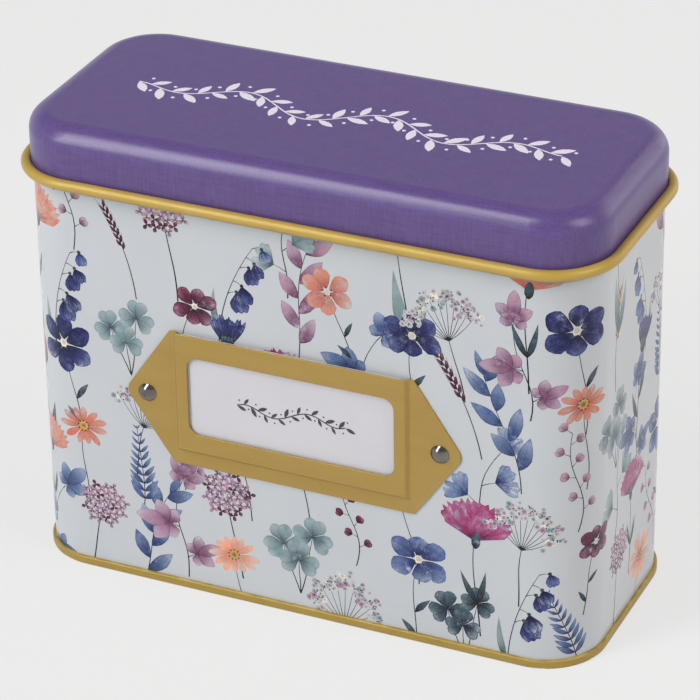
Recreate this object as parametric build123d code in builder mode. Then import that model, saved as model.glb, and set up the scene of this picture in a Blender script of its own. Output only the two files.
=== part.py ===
from build123d import *
import os
from math import cos, radians, sin

os.makedirs("parts", exist_ok=True)

# All sizes are in millimetres. The tin stands on Z = 0 with its front facing -Y.
# "Offset" is the distance outside the printed face of the body wall.
width = 140.0
depth = 60.0
corner_radius = 14.0
height = 114.3

# Body sleeve: tinplate rolled round and locked at the back, with a neck under the lid
wall_sheet = 0.28
cut_reach = 1.2
shoulder_height = 98.8
neck_inset = 1.2
hem_radius = 0.6
hem_height = 112.1
lock_seam_width = 4.0
lock_seam_thickness = 0.5
lock_seam_low = 4.2
lock_groove_width = 0.2
lock_groove_depth = 0.12

# Double seam that joins the base to the sleeve
base_sheet = 0.24
seam_gap = 0.02
seam_height = 2.05
body_hook_top = 1.5
cover_hook_low = 0.8
seam_corner_radius = 0.35
base_panel_height = 3.0
base_panel_rise = 0.5
base_step_offset = -7.2
base_step_run = 0.8

# Lid: a drawn shell whose edge is curled outward into a round bead
skirt_clearance = 0.22
rim_height = 101.2
curl_radius = 1.30
curl_turn = 310.0
lid_top_radius = 4.8

# Hinge: a wire in the back of the curl, held by two straps through the neck
wire_radius = 1.0
wire_length = 104.0
wire_chamfer = 0.3
wire_clearance = 0.05
strap_sheet = 0.25
strap_width = 12.0
strap_spacing = 64.0
strap_tab_length = 3.4
notch_clearance = 0.5
notch_height = 103.2
slot_clearance = 0.05

# Label holder: a hexagonal pressing, riveted to the front
holder_centre_x = -0.8
holder_centre_height = 51.2
holder_sheet = 0.5
holder_half_length = 30.2
holder_tip = 42.15
holder_up = 17.45
holder_down = 17.15
holder_tip_radius = 3.0
holder_corner_radius = 0.8
pocket_depth = 1.0
bridge_half_width = 29.6
bridge_bottom = 13.9
bridge_slope = 1.2
window_half_width = 25.7
window_up = 11.95
window_down = 8.15
window_radius = 2.8

# Rivets of the label holder
rivet_spacing = 73.0
rivet_head_radius = 2.25
rivet_head_rim = 0.15
rivet_head_height = 1.25
rivet_shank_radius = 1.4
rivet_tail_radius = 2.1
rivet_tail_rim = 0.25
rivet_tail_height = 0.65
rivet_hole_clearance = 0.02

# Label card in the holder
label_width = 55.6
label_height = 29.6
label_sheet = 0.35
label_gap = 0.33
label_rise = 1.0
label_corner_radius = 1.0

# Index cards and tabbed dividers, leaning a little towards the back wall
card_width = 127.0
card_height = 76.2
card_sheet = 0.38
card_gap = 0.02
cards_in_pack = 16
divider_count = 6
divider_sheet = 0.6
tab_width = 20.0
tab_height = 10.0
tab_radius = 2.0
card_lean = 5.0
rear_card_y = 20.6

# Worked out from the sizes above
half_width = width / 2
half_depth = depth / 2
half_wall = wall_sheet / 2
half_base = base_sheet / 2
neck_y = half_depth - neck_inset
curl_offset = skirt_clearance + curl_radius
hinge_y = half_depth + curl_offset

# The section plane stands across the front wall: X is the offset, Y is the height
wall_section = Plane(origin=(0, -half_depth, 0), x_dir=(0, -1, 0), z_dir=(-1, 0, 0))
front_wall = Plane.XZ.offset(half_depth)

with BuildLine() as wall_line:
    front_half = Line((0, -half_depth), (-half_width + corner_radius, -half_depth))
    front_corner = JernArc(front_half @ 1, front_half % 1, corner_radius, -90)
    end_wall = Line(front_corner @ 1, (-half_width, half_depth - corner_radius))
    back_corner = JernArc(end_wall @ 1, end_wall % 1, corner_radius, -90)
    Line(back_corner @ 1, (0, half_depth))
    mirror(about=Plane.YZ)
wall_path = wall_line.wire()

# Body sleeve: a hook in the base seam, the wall, a neck set in under the lid, and a rolled hem
cover_middle = seam_gap + half_base
hook_middle = cover_middle + half_base + seam_gap + half_wall
hook_low = base_sheet + seam_gap
strap_places = [(side * strap_spacing / 2, rim_height) for side in (-1, 1)]
rivet_places = [(holder_centre_x + side * rivet_spacing / 2, holder_centre_height) for side in (-1, 1)]
wall_face = [
    (0, hook_low),
    (0, shoulder_height),
    (-neck_inset, shoulder_height + neck_inset),
    (-neck_inset, hem_height),
]

with BuildPart() as body_wall:
    with BuildSketch(wall_section):
        Polygon(*wall_face, *[(x - wall_sheet, z) for x, z in reversed(wall_face)], align=None)
        with Locations((hook_middle / 2, hook_low + half_wall)):
            Rectangle(hook_middle + wall_sheet, wall_sheet)
        with Locations((hook_middle, (hook_low + body_hook_top) / 2)):
            Rectangle(wall_sheet, body_hook_top - hook_low)
        with Locations((-neck_inset - hem_radius, hem_height)):
            Circle(hem_radius)
    sweep(path=wall_path)
    # Lock seam down the inside of the back, with its fine groove outside
    with BuildSketch(Plane.XY.offset(lock_seam_low)):
        with Locations((0, half_depth - half_wall - lock_seam_thickness / 2)):
            Rectangle(lock_seam_width, wall_sheet + lock_seam_thickness)
    extrude(amount=shoulder_height - lock_seam_low)
    with BuildSketch(Plane.XY.offset(seam_height)):
        with Locations((lock_seam_width / 2, half_depth)):
            Rectangle(lock_groove_width, 2 * lock_groove_depth)
    extrude(amount=shoulder_height - seam_height, mode=Mode.SUBTRACT)
    # Slots in the back of the neck for the hinge straps
    with BuildSketch(Plane.XZ.offset(-neck_y - half_wall)):
        with Locations(*strap_places):
            Rectangle(strap_width + 2 * slot_clearance, 2 * (strap_sheet + slot_clearance))
    extrude(amount=cut_reach, both=True, mode=Mode.SUBTRACT)
    # Holes for the rivets
    with BuildSketch(front_wall):
        with Locations(*rivet_places):
            Circle(rivet_shank_radius + rivet_hole_clearance)
    extrude(amount=cut_reach, both=True, mode=Mode.SUBTRACT)
body_wall.part.label = "body_wall"
export_step(body_wall.part, "parts/body_wall.step")

# Base: the panel drops into the seam, whose wall folds over the sleeve's hook
panel_middle = base_panel_height + half_base
panel_edge = base_step_offset - base_step_run
inner_middle = -wall_sheet - seam_gap - half_base
outer_middle = hook_middle + half_wall + seam_gap + half_base

with BuildPart() as base_plate:
    with BuildSketch(wall_section) as seam_section:
        with BuildLine():
            Polyline(
                (panel_edge - base_step_run, panel_middle + base_panel_rise),
                (panel_edge, panel_middle + base_panel_rise),
                (base_step_offset, panel_middle),
                (inner_middle, panel_middle),
                (inner_middle, half_base),
                (outer_middle, half_base),
                (outer_middle, seam_height - half_base),
                (cover_middle, seam_height - half_base),
                (cover_middle, cover_hook_low + half_base),
            )
            offset(amount=half_base, kind=Kind.INTERSECTION)
        make_face()
        seam_corners = seam_section.vertices().group_by(Axis.Y)[0]
        seam_corners += seam_section.vertices().group_by(Axis.X)[-1].sort_by(Axis.Y)[-1:]
        fillet(seam_corners, seam_corner_radius)
    sweep(path=wall_path)
    with BuildSketch(Plane.XY.offset(base_panel_height + base_panel_rise)):
        RectangleRounded(width + 2 * panel_edge, depth + 2 * panel_edge, corner_radius + panel_edge)
    extrude(amount=base_sheet)
base_plate.part.label = "base_plate"
export_step(base_plate.part, "parts/base_plate.step")

# Lid: flat top, drawn round edge, straight skirt, and the edge curled outward round the wire
lid_middle = skirt_clearance + half_wall
lid_bend = lid_top_radius - half_wall
lid_bend_height = height - lid_top_radius
lid_flat_edge = lid_middle - lid_bend

with BuildPart() as lid_shell:
    with BuildSketch(wall_section):
        with BuildLine():
            Line((lid_flat_edge - lid_bend, height - half_wall), (lid_flat_edge, height - half_wall))
            CenterArc((lid_flat_edge, lid_bend_height), lid_bend, 90, -90)
            Line((lid_middle, lid_bend_height), (lid_middle, rim_height))
            CenterArc((curl_offset, rim_height), curl_radius - half_wall, 180, curl_turn)
            offset(amount=half_wall)
        make_face()
    sweep(path=wall_path)
    with BuildSketch(Plane.XY.offset(height - wall_sheet)):
        RectangleRounded(width + 2 * lid_flat_edge, depth + 2 * lid_flat_edge, corner_radius + lid_flat_edge)
    extrude(amount=wall_sheet)
    # Notches in the back of the curl and skirt that leave the wire bare for the straps
    notch_low = rim_height - curl_radius
    with BuildSketch(Plane.XZ.offset(-half_depth)):
        with Locations(*[(x, (notch_low + notch_height) / 2) for x, z in strap_places]):
            Rectangle(strap_width + 2 * notch_clearance, notch_height - notch_low)
    extrude(amount=-2 * curl_offset, mode=Mode.SUBTRACT)
lid_shell.part.label = "lid_shell"
export_step(lid_shell.part, "parts/lid_shell.step")

# Hinge wire, which lies in the back of the curl and turns in the straps
with BuildPart() as hinge_wire:
    with BuildSketch(Plane.YZ.offset(-wire_length / 2)):
        with Locations((hinge_y, rim_height)):
            Circle(wire_radius)
    extrude(amount=wire_length)
    chamfer(hinge_wire.edges().filter_by(GeomType.CIRCLE), wire_chamfer)
hinge_wire.part.label = "hinge_wire"
export_step(hinge_wire.part, "parts/hinge_wire.step")

# Hinge straps: folded round the wire, through the neck, and spread flat inside it
strap_bore = wire_radius + wire_clearance
strap_tab_y = neck_y - wall_sheet - strap_sheet / 2
for side, (strap_x, strap_z) in zip(("left", "right"), strap_places):
    with BuildPart() as hinge_strap:
        with BuildSketch(Plane.YZ.offset(strap_x)):
            with Locations((hinge_y, strap_z)):
                Circle(strap_bore + strap_sheet)
            with Locations(((hinge_y + strap_tab_y) / 2, strap_z)):
                Rectangle(hinge_y - strap_tab_y, 2 * strap_sheet)
            with Locations((strap_tab_y, strap_z)):
                Rectangle(strap_sheet, 2 * strap_tab_length)
            with Locations((hinge_y, strap_z)):
                Circle(strap_bore, mode=Mode.SUBTRACT)
        extrude(amount=strap_width / 2, both=True)
    hinge_strap.part.label = f"hinge_strap_{side}"
    export_step(hinge_strap.part, f"parts/hinge_strap_{side}.step")

# Label holder: a flat hexagon whose middle is pressed out into a pocket, open at the top
with BuildPart() as label_holder:
    holder_centre = (holder_centre_x, -half_depth, holder_centre_height)
    holder_plane = Plane(origin=holder_centre, x_dir=(1, 0, 0), z_dir=(0, -1, 0))
    with BuildSketch(holder_plane) as hexagon:
        Polygon(
            (-holder_half_length, holder_up),
            (-holder_tip, 0),
            (-holder_half_length, -holder_down),
            (holder_half_length, -holder_down),
            (holder_tip, 0),
            (holder_half_length, holder_up),
            align=None,
        )
        tips = hexagon.vertices().group_by(Axis.X)
        fillet(tips[0] + tips[-1], holder_tip_radius)
        corners = hexagon.vertices().group_by(Axis.Y)
        fillet(corners[0] + corners[-1], holder_corner_radius)
    extrude(amount=holder_sheet)
    for sheet, mode in ((holder_sheet, Mode.ADD), (0, Mode.SUBTRACT)):
        bridge_x = bridge_half_width - holder_sheet + sheet
        bridge_z = bridge_bottom - holder_sheet + sheet
        bridge_y = (holder_up - bridge_z) / 2
        with BuildSketch(holder_plane):
            with Locations((0, bridge_y)):
                Rectangle(2 * bridge_x, holder_up + bridge_z)
        with BuildSketch(holder_plane.offset(pocket_depth + sheet)):
            with Locations((0, bridge_y + bridge_slope / 2)):
                Rectangle(2 * (bridge_x - bridge_slope), holder_up + bridge_z - bridge_slope)
        loft(mode=mode)
    with BuildSketch(holder_plane):
        with Locations((0, (window_up - window_down) / 2)):
            RectangleRounded(2 * window_half_width, window_up + window_down, window_radius)
    extrude(amount=pocket_depth + 2 * holder_sheet, mode=Mode.SUBTRACT)
    with BuildSketch(front_wall):
        with Locations(*rivet_places):
            Circle(rivet_shank_radius + rivet_hole_clearance)
    extrude(amount=cut_reach, mode=Mode.SUBTRACT)
label_holder.part.label = "label_holder"
export_step(label_holder.part, "parts/label_holder.step")

# Rivets: domed head on the holder, shank through holder and wall, tail spread inside
head_top = -holder_sheet - rivet_head_height
head_rim = -holder_sheet - rivet_head_rim
tail_rim = wall_sheet + rivet_tail_rim
dome_rise = rivet_head_height - rivet_head_rim
dome_radius = (rivet_head_radius**2 + dome_rise**2) / (2 * dome_rise)

for side, (rivet_x, rivet_z) in zip(("left", "right"), rivet_places):
    with BuildPart() as rivet:
        with BuildSketch(Plane((rivet_x, -half_depth, rivet_z))):
            with BuildLine():
                RadiusArc((0, head_top), (rivet_head_radius, head_rim), -dome_radius)
                Polyline(
                    (rivet_head_radius, head_rim),
                    (rivet_head_radius, -holder_sheet),
                    (rivet_shank_radius, -holder_sheet),
                    (rivet_shank_radius, wall_sheet),
                    (rivet_tail_radius, wall_sheet),
                    (rivet_tail_radius, tail_rim),
                    (0, wall_sheet + rivet_tail_height),
                    (0, head_top),
                )
            make_face()
        revolve(axis=Axis((rivet_x, -half_depth, rivet_z), (0, 1, 0)))
    rivet.part.label = f"rivet_{side}"
    export_step(rivet.part, f"parts/rivet_{side}.step")

# Label card, standing on the slope at the foot of the pocket
label_low = holder_centre_height - bridge_bottom + holder_sheet + label_rise
with BuildPart() as label_card:
    with BuildSketch(front_wall.offset(label_gap)):
        with Locations((holder_centre_x, label_low + label_height / 2)):
            RectangleRounded(label_width, label_height, label_corner_radius)
    extrude(amount=label_sheet)
label_card.part.label = "label_card"
export_step(label_card.part, "parts/label_card.step")

# Card packs and tabbed dividers, numbered from the front, each leaning on the one behind it
floor_height = base_panel_height + base_panel_rise + base_sheet + card_gap
lean = radians(card_lean)
pack_depth = (cards_in_pack * (card_sheet + card_gap) + divider_sheet + card_gap) / cos(lean)


def leaning_plane(y):
    """Plane of a card whose rear bottom edge stands at y, facing the front."""
    return Plane(origin=(0, y, floor_height), x_dir=(1, 0, 0), z_dir=(0, -cos(lean), sin(lean)))


for number in range(1, divider_count + 1):
    pack_y = rear_card_y - (divider_count - number) * pack_depth
    with BuildPart() as card_pack:
        for card in range(cards_in_pack):
            with BuildSketch(leaning_plane(pack_y - card * (card_sheet + card_gap) / cos(lean))):
                with Locations((0, card_height / 2)):
                    Rectangle(card_width, card_height)
            extrude(amount=card_sheet)
    card_pack.part.label = f"cards_{number}"
    export_step(card_pack.part, f"parts/cards_{number}.step")

    divider_y = pack_y - cards_in_pack * (card_sheet + card_gap) / cos(lean)
    tab_x = (number - (divider_count + 1) / 2) * tab_width
    with BuildPart() as divider:
        with BuildSketch(leaning_plane(divider_y)) as divider_outline:
            with Locations((0, card_height / 2)):
                Rectangle(card_width, card_height)
            with Locations((tab_x, card_height)):
                Rectangle(tab_width, 2 * tab_height)
            fillet(divider_outline.vertices().group_by(Axis.Y)[-1], tab_radius)
        extrude(amount=divider_sheet)
    divider.part.label = f"divider_{number}"
    export_step(divider.part, f"parts/divider_{number}.step")
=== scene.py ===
import math

import bpy
import bmesh
import numpy as np
from mathutils import Matrix, Vector
from mathutils.geometry import delaunay_2d_cdt


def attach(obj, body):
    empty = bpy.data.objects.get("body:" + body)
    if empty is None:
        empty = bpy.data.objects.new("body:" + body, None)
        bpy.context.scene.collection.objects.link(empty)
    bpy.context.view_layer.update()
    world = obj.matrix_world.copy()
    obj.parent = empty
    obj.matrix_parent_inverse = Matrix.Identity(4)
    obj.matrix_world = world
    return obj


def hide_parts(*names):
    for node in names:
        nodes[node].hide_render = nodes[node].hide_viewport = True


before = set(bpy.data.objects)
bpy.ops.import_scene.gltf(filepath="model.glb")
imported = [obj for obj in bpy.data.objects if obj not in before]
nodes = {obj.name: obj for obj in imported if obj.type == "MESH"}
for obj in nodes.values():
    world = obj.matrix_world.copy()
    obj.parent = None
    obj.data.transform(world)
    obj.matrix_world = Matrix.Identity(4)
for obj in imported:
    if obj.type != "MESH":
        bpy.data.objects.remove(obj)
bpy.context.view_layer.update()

mm = 0.001


# Camera: a long lens, a little above the lid, looking at the front left of the right-hand corner.
# The tin fills the picture as it does in the photograph, with a slight turn about the line of sight.
camera_turn = math.radians(24.54)
camera_rise = math.radians(28.81)
camera_roll = math.radians(-0.89)
camera_distance = 839.63 * mm
camera_lens = 181.34
camera_near = 10 * mm
look_at = Vector((-6.60, 14.83, 45.76)) * mm

line_of_sight = Vector(
    (
        math.sin(camera_turn) * math.cos(camera_rise),
        -math.cos(camera_turn) * math.cos(camera_rise),
        math.sin(camera_rise),
    )
)
level_right = Vector((math.cos(camera_turn), math.sin(camera_turn), 0))
level_up = line_of_sight.cross(level_right)
picture_right = math.cos(camera_roll) * level_right + math.sin(camera_roll) * level_up
picture_up = -math.sin(camera_roll) * level_right + math.cos(camera_roll) * level_up
camera = bpy.data.objects.new("camera", bpy.data.cameras.new("camera"))
camera.data.lens = camera_lens
camera.data.clip_start = camera_near
camera.matrix_world = Matrix.Translation(look_at + camera_distance * line_of_sight) @ Matrix(
    (picture_right, picture_up, line_of_sight)
).transposed().to_4x4()
bpy.context.scene.collection.objects.link(camera)
bpy.context.scene.camera = camera
bpy.context.scene.view_settings.view_transform = "Standard"


# Studio: a wide pale sheet under the tin, a tall strip of light at its front left and broad soft
# boxes on its right and behind it, in an even grey room. The sheet keeps the tin's shadow.
def arithmetic(operation):
    """A Math node's operation as an operator of a wire, and the same with its sides exchanged."""

    def straight(wire, other):
        return wire.math(operation, wire, other)

    def reflected(wire, other):
        return wire.math(operation, other, wire)

    return straight, reflected


class Wire:
    """One output of a shader node. Arithmetic on it adds the Math nodes that do it."""

    __add__, __radd__ = arithmetic("ADD")
    __sub__, __rsub__ = arithmetic("SUBTRACT")
    __mul__, __rmul__ = arithmetic("MULTIPLY")
    __truediv__, __rtruediv__ = arithmetic("DIVIDE")
    __pow__, __rpow__ = arithmetic("POWER")
    __gt__, __lt__ = arithmetic("GREATER_THAN")

    def __init__(self, maker, socket):
        self.maker = maker
        self.socket = socket

    def math(self, operation, *values):
        return self.maker.math(operation, *values)

    def size(self):
        return self.math("ABSOLUTE", self)

    def most(self, other):
        return self.math("MAXIMUM", self, other)

    def least(self, other):
        return self.math("MINIMUM", self, other)


class Nodes:
    """A node tree that is built from values and wires. A list of wires fills one wide socket."""

    def __init__(self, tree):
        self.tree = tree
        self.tree.nodes.clear()

    def node(self, kind, settings, sockets):
        made = self.tree.nodes.new(kind)
        for name, setting in settings.items():
            setattr(made, name, setting)
        named = {socket.identifier: socket for socket in made.inputs}
        for name, value in sockets.items():
            socket = made.inputs[name] if isinstance(name, int) else named[name]
            if not isinstance(value, (Wire, list)):
                socket.default_value = value
                continue
            for wire in value if isinstance(value, list) else [value]:
                self.tree.links.new(wire.socket, socket)
        return {output.identifier: Wire(self, output) for output in made.outputs}

    def math(self, operation, *values):
        sockets = dict(enumerate(values))
        return self.node("ShaderNodeMath", {"operation": operation}, sockets)["Value"]

    def parts(self, vector):
        split = self.node("ShaderNodeSeparateXYZ", {}, {"Vector": vector})
        return split["X"], split["Y"], split["Z"]

    def joined(self, x, y, z):
        return self.node("ShaderNodeCombineXYZ", {}, {"X": x, "Y": y, "Z": z})["Vector"]


class Finish(Nodes):
    """A material, or the world, and the nodes that make it."""

    def __init__(self, owner):
        owner.use_nodes = True
        self.owner = owner
        super().__init__(owner.node_tree)

    def mix(self, share, first, second):
        sockets = {"Factor_Float": share, "A_Color": first, "B_Color": second}
        settings = {"data_type": "RGBA", "clamp_factor": True}
        return self.node("ShaderNodeMix", settings, sockets)["Result_Color"]

    def multiply(self, colour, by):
        sockets = {0: colour, 1: by}
        return self.node("ShaderNodeVectorMath", {"operation": "MULTIPLY"}, sockets)["Vector"]

    def ease(self, value, low, high):
        settings = {"interpolation_type": "SMOOTHSTEP"}
        sockets = {"Value": value, "From Min": low, "From Max": high}
        return self.node("ShaderNodeMapRange", settings, sockets)["Result"]

    def place(self, output="Object"):
        return self.node("ShaderNodeTexCoord", {}, {})[output]

    def backdrop_rays(self):
        """1 for the rays that show the backdrop: from the camera, by a mirror or through glass."""
        ray = self.node("ShaderNodeLightPath", {}, {})
        return ray["Is Camera Ray"].most(ray["Is Glossy Ray"]).most(ray["Is Transmission Ray"])

    def stretch(self, vector, scale):
        return self.node("ShaderNodeMapping", {}, {"Vector": vector, "Scale": scale})["Vector"]

    def noise(self, vector, scale, detail=2, roughness=0.5):
        sockets = {"Vector": vector, "Scale": scale, "Detail": detail, "Roughness": roughness}
        return self.node("ShaderNodeTexNoise", {}, sockets)["Fac"]

    def bump(self, height, distance, strength):
        sockets = {"Height": height, "Distance": distance, "Strength": strength}
        return self.node("ShaderNodeBump", {}, sockets)["Normal"]

    def paint(self, sockets):
        surface = self.node("ShaderNodeBsdfPrincipled", {}, sockets)["BSDF"]
        self.node("ShaderNodeOutputMaterial", {}, {"Surface": surface})
        return self.owner


def finish(name):
    """A new material with an empty node tree."""
    return Finish(bpy.data.materials.new(name))


def colour(red, green, blue):
    """A colour written as it looks in a picture, 0 to 255, as the shader takes it."""
    shares = [value / 255 for value in (red, green, blue)]
    return (*[s / 12.92 if s <= 0.04045 else ((s + 0.055) / 1.055) ** 2.4 for s in shares], 1)


def grey(level):
    """A neutral colour of a plain light level."""
    return (level, level, level, 1)


def cover(name, material):
    """Gives a piece of the frame its finish."""
    piece = nodes[name]
    for slot in piece.material_slots:
        slot.material = material
    if not piece.material_slots:
        piece.data.materials.append(material)


backdrop_colour = colour(235, 235, 235)
sheet_size = 6.0
shadow_share = 0.2
room_light = 0.4
room_dark = 0.2
room_shown = 0.3
lamp_aim = Vector((0, 0, 0.06))
warm = (1.0, 0.93, 0.88)
plain = (1.0, 1.0, 1.0)

room = Finish(bpy.data.worlds.new("studio"))
bpy.context.scene.world = room.owner
up = room.parts(room.place("Generated"))[2]
lit = room.mix(room.ease(up, -0.1, 0.7), grey(room_dark), grey(room_light))
shown = room.mix(room.ease(up, 0.12, 0.5), backdrop_colour, grey(room_shown))
sockets = {"Color": room.mix(room.backdrop_rays(), lit, shown), "Strength": 1.0}
background = room.node("ShaderNodeBackground", {}, sockets)["Background"]
room.node("ShaderNodeOutputWorld", {}, {"Surface": background})

floor_mesh = bpy.data.meshes.new("floor")
far = sheet_size / 2
corners = [(-far, -far, 0), (far, -far, 0), (far, far, 0), (-far, far, 0)]
floor_mesh.from_pydata(corners, [], [(0, 1, 2, 3)])
floor = bpy.data.objects.new("floor", floor_mesh)
bpy.context.scene.collection.objects.link(floor)
paper = finish("studio_paper")
shaded = paper.node("ShaderNodeBsdfDiffuse", {}, {"Color": backdrop_colour})["BSDF"]
even = paper.node("ShaderNodeEmission", {}, {"Color": backdrop_colour, "Strength": 1.0})["Emission"]
sockets = {0: paper.backdrop_rays() * (1 - shadow_share), 1: shaded, 2: even}
surface = paper.node("ShaderNodeMixShader", {}, sockets)["Shader"]
paper.node("ShaderNodeOutputMaterial", {}, {"Surface": surface})
floor_mesh.materials.append(paper.owner)


def soft_box(name, direction, distance, size, power, tint):
    """A rectangular lamp that faces the middle of the tin from a direction."""
    lamp = bpy.data.objects.new(name, bpy.data.lights.new(name, "AREA"))
    lamp.data.shape = "RECTANGLE"
    lamp.data.size, lamp.data.size_y = size
    lamp.data.energy = power
    lamp.data.color = tint
    way = Vector(direction).normalized()
    lamp.location = lamp_aim + way * distance
    lamp.rotation_euler = way.to_track_quat("Z", "Y").to_euler()
    bpy.context.scene.collection.objects.link(lamp)


soft_box("strip_light", (-0.44, -0.65, 0.62), 1.3, (0.34, 1.3), 13.0, plain)
soft_box("side_light", (0.77, -0.12, 0.62), 1.4, (0.6, 0.8), 7.0, warm)
soft_box("back_light", (0.50, 0.80, 0.30), 1.5, (1.3, 1.1), 4.5, warm)


# Body sleeve: a sheet of tinplate with a pale ground under gloss varnish outside and gold lacquer
# inside. It is printed flat, rolled round a former and locked at the back, and its top edge is
# rolled inward to a hem. The neck under the lid has the ground alone.
body_width = 140.0
body_depth = 60.0
body_corner = 14.0
body_middle = 50.0
hem_low = 111.4
ground_colour = colour(195, 199, 203)
ground_shade = colour(186, 191, 196)
varnish_roughness = 0.15
varnish_shine = 0.3
gold_light = colour(192, 163, 80)
gold_deep = colour(170, 139, 54)
gold_metallic = 0.1
lacquer_scale = 260


def outer_side(coat, at, middle):
    """1 on the faces of a shell that look away from a point on its upright axis, 0 inside it."""
    x, y, z = coat.parts(at)
    facing_x, facing_y, facing_z = coat.parts(coat.place("Normal"))
    return (x * facing_x + y * facing_y + (z - middle * mm) * facing_z) > 0


def ground_tone(coat, at):
    """The pale ground, a little uneven where the roller laid it down."""
    return coat.mix(coat.noise(at, 40, 3), ground_colour, ground_shade)


def gold_tone(coat, at):
    """Gold lacquer with a slight mottle and the fine lines of the rolled sheet under it."""
    mottle = coat.noise(at, 130, 3) * 0.7 + coat.noise(coat.stretch(at, (1, 1, 14)), 300, 3) * 0.3
    return coat.mix(mottle, gold_deep, gold_light)


def lacquer_gloss(coat, at, least, spread):
    """How rough the lacquer is, which wanders a little over the sheet."""
    return least + coat.noise(at, lacquer_scale, 3) * spread


def orange_peel(coat, at):
    """The faint ripple of a roller-coated finish."""
    return coat.bump(coat.noise(at, 900, 2), 0.02 * mm, 0.25)


sleeve = finish("sleeve_sheet")
at = sleeve.place()
height = sleeve.parts(at)[2]
coated = outer_side(sleeve, at, body_middle).most(height > hem_low * mm)
lacquer_roughness = lacquer_gloss(sleeve, at, 0.34, 0.12)
sockets = {
    "Base Color": sleeve.mix(coated, gold_tone(sleeve, at), ground_tone(sleeve, at)),
    "Metallic": (1 - coated) * gold_metallic,
    "Roughness": lacquer_roughness + (varnish_roughness - lacquer_roughness) * coated,
    "Normal": orange_peel(sleeve, at),
}
cover("body_wall", sleeve.paint(sockets))


# Print on the sleeve: washes of water colour, laid down on the flat sheet before it is rolled.
# A meadow of separate plants stands in staggered rows on fine dark stems. Each brush mark is an
# outline on the flat sheet; the sheet is cut along all of them, so the print is one smooth skin.
sheet_low = 2.07
sheet_high = 98.75
sheet_gap = 0.03
seam_place = 2.0
seam_gap = 0.12
bend_steps = 16
rung_gap = 1.8
pool_scale = 210
blotch_scale = 620
grain_scale = 3200
bend_length = body_corner * math.pi / 2
front_half = body_width / 2 - body_corner
side_length = body_depth - 2 * body_corner
girth = 2 * (2 * front_half + side_length) + 4 * bend_length

stem_layer, leaf_layer, petal_layer, eye_layer = range(4)

# Each ink has its tone where the wash is thin and its tone where it has run together.
stem_ink = (colour(66, 68, 80), colour(38, 38, 50))
indigo = (colour(40, 48, 100), colour(14, 16, 52))
blue = (colour(80, 98, 148), colour(28, 38, 88))
coral = (colour(197, 131, 114), colour(170, 90, 76))
peach = (colour(226, 166, 138), colour(206, 122, 96))
mauve = (colour(170, 138, 160), colour(104, 60, 90))
rose = (colour(154, 66, 112), colour(92, 22, 64))
plum = (colour(104, 42, 68), colour(48, 18, 36))
teal = (colour(62, 82, 92), colour(20, 28, 40))
sage = (colour(134, 154, 158), colour(70, 90, 98))
slate = (colour(98, 118, 156), colour(38, 54, 100))
stone = (colour(190, 188, 190), colour(104, 98, 106))
cream = (colour(224, 216, 202), colour(184, 172, 158))
ochre = (colour(196, 158, 88), colour(116, 78, 44))

chance = np.random.default_rng(23)
full_turn = 2 * math.pi


def either():
    return chance.choice((-1, 1))


def around(amount):
    return chance.uniform(-amount, amount)


def toward(turn):
    """The way that a turn points on the flat sheet, in radians clockwise from straight up."""
    return np.array((math.sin(turn), math.cos(turn)))


class Spine:
    """The curved line along which a stem, leaf or petal is drawn on the flat sheet."""

    def __init__(self, root, heading, length, bend=0.0, sway=0.0):
        self.root = np.array(root, float)
        self.heading = heading
        self.length = length
        self.bend = bend
        self.sway = sway
        self.ahead = toward(heading)
        self.right = np.array((math.cos(heading), -math.sin(heading)))

    def drift(self, along):
        return self.length * (self.bend * along**2 + self.sway * np.sin(full_turn * along))

    def at(self, along, aside=0.0):
        along = np.asarray(along, float)
        across = self.drift(along) + aside
        return self.root + along[..., None] * self.length * self.ahead + across[..., None] * self.right

    def turned(self, along):
        slope = 2 * self.bend * along + full_turn * self.sway * math.cos(full_turn * along)
        return self.heading + math.atan(slope)

    def read(self, points, half):
        """How far along and across the mark each point lies, where half is half its width."""
        local = points - self.root
        along = local @ self.ahead / self.length
        across = (local @ self.right - self.drift(along)) / np.maximum(half(along), 0.01)
        return np.clip(along, 0, 1), np.clip(across, -1, 1)


def branch(spine, along, turn, length, bend=0.0, sway=0.0):
    """A spine that leaves another at a share of its length."""
    return Spine(spine.at(along), spine.turned(along) + turn, length, bend, sway)


class Mark:
    """One brush mark: its outline, points inside it, and how to read a place in it.

    Its habit says how strongly it is veined, streaked and faded towards its tip.
    """

    def __init__(self, layer, outline, inside, read, inks, habit):
        x, y = outline.T
        swept = (x * np.roll(y, -1) - y * np.roll(x, -1)).sum()
        self.layer = layer
        self.outline = outline if swept > 0 else outline[::-1]
        self.inside = inside
        self.read = read
        self.inks = inks
        self.habit = habit
        self.seed = chance.uniform(0, 1)


marks = []
plain_habit = (0, 0, 0)


def band(spine, half, out, back):
    """The outline of a mark: out along its left edge and back along its right."""
    return np.concatenate([spine.at(out, -half(out)), spine.at(back, half(back))])


def blade(layer, spine, width, form, inks, habit=plain_habit):
    """A petal or leaf. form is where it is widest, as a share of its length, and how pointed it is."""
    widest, pointed = form
    skew = math.log(0.5) / math.log(widest)
    phase = chance.uniform(0, full_turn)

    def half(along):
        body = np.sin(math.pi * np.clip(along, 0, 1) ** skew) ** pointed
        return width / 2 * body * (1 + 0.06 * np.sin(9 * along + phase))

    steps = int(np.clip(4.5 + spine.length * 0.66, 5, 13))
    along = (1 - np.cos(np.linspace(0, math.pi, steps))) / 2
    between = along[1:-1]
    outline = band(spine, half, along, between[::-1])
    rows = (-0.6, 0.0, 0.6) if width > 1.5 else (0.0,)
    inside = np.concatenate([spine.at(between, row * half(between)) for row in rows])
    marks.append(Mark(layer, outline, inside, lambda points: spine.read(points, half), inks, habit))


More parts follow.
